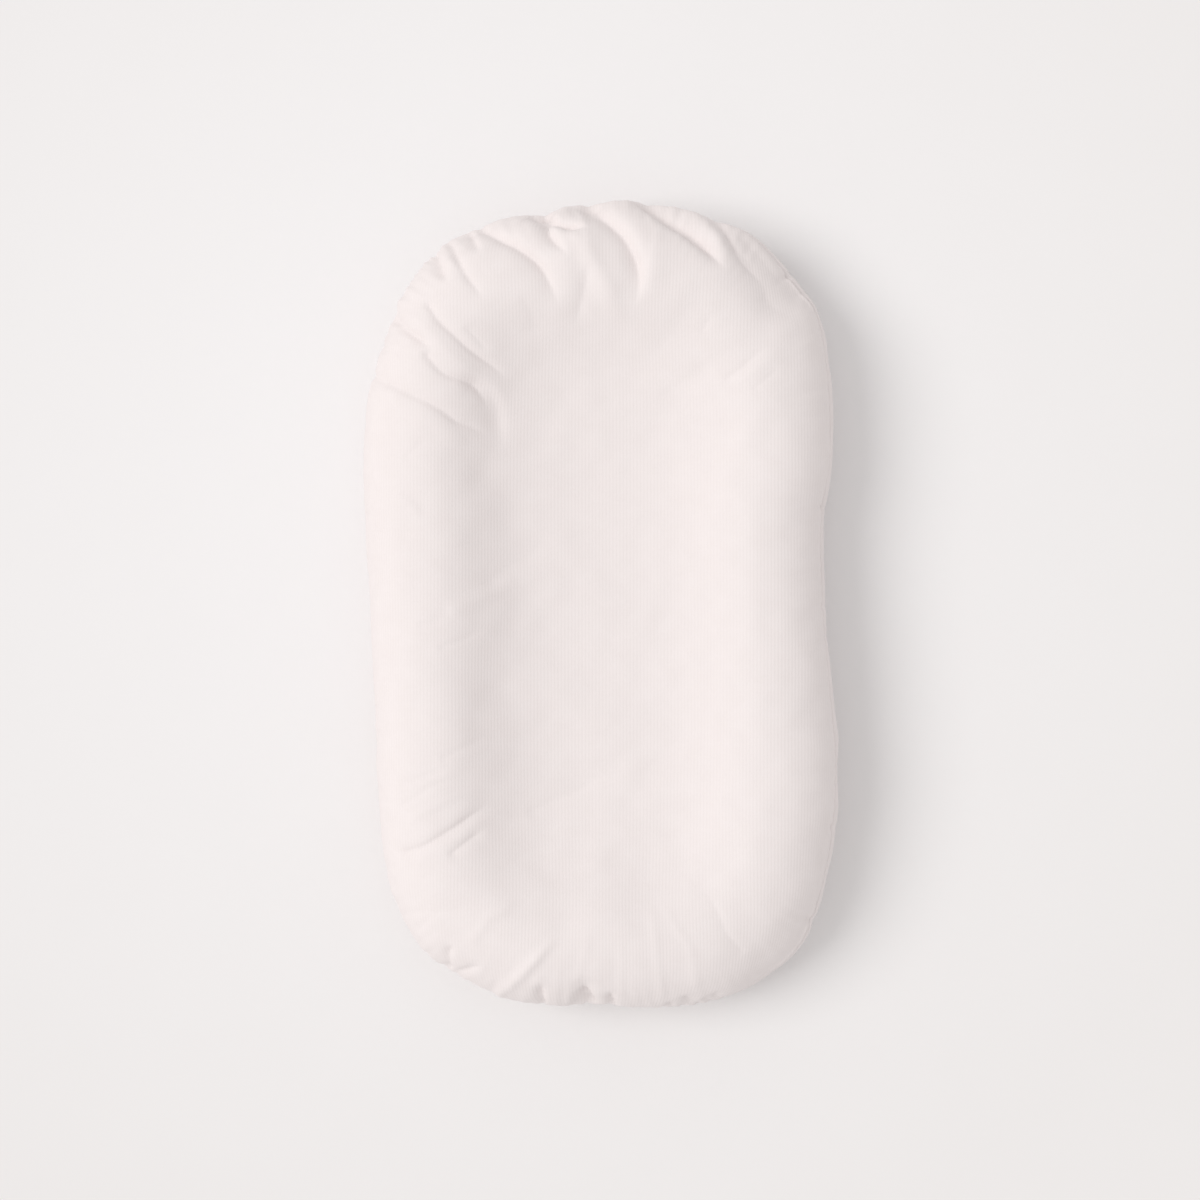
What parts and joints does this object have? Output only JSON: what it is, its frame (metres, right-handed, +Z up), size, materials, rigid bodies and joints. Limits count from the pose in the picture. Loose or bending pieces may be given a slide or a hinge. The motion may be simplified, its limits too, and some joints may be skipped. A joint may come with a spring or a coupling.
{
  "type": "infant lounger",
  "caption": "Oval infant lounger with a stuffed rim round a shallow padded well, in a removable ribbed cover with a zip beneath.",
  "frame": {"origin": "on the floor under the middle of the outline", "axes": "+Z up, +Y towards the head end, +X to the right of someone who looks down with the head end away from them"},
  "size_m": [0.4184, 0.7102, 0.115],
  "materials": {
    "cover_cloth": "matte",
    "liner_cloth": "matte",
    "thread": "matte",
    "stuffing": "matte",
    "tape_cloth": "matte",
    "tooth_plastic": "satin",
    "zip_metal": "satin"
  },
  "bodies": {
    "lounger": {"cover_top_panel": "cover_cloth", "cover_underside_left": "cover_cloth", "cover_underside_right": "cover_cloth", "cover_seam_allowance": "cover_cloth", "liner_top_panel": "liner_cloth", "liner_base_panel": "liner_cloth", "liner_seam_allowance": "liner_cloth", "liner_channel_stitching": "thread", "rim_stuffing": "stuffing", "middle_stuffing": "stuffing", "zip_tape_left": "tape_cloth", "zip_tape_right": "tape_cloth", "zip_teeth_left": "tooth_plastic", "zip_teeth_right": "tooth_plastic", "zip_top_stop_left": "zip_metal", "zip_top_stop_right": "zip_metal", "zip_bottom_stop": "zip_metal"},
    "slider": {"zip_slider": "zip_metal"},
    "pull": {"zip_pull": "zip_metal"}
  },
  "joints": [
    {"name": "zip_slide", "type": "slide", "parent": "lounger", "child": "slider", "axis": [0, -1, 0], "range_m": [0, 0.3285], "deforming": ["zip_teeth_left", "zip_teeth_right"]},
    {"name": "pull_swing", "type": "hinge", "parent": "slider", "child": "pull", "pos_m": [0, 0.16405, 0.01185], "axis": [1, 0, 0], "range_deg": [-26.3, 153.6]}
  ]
}
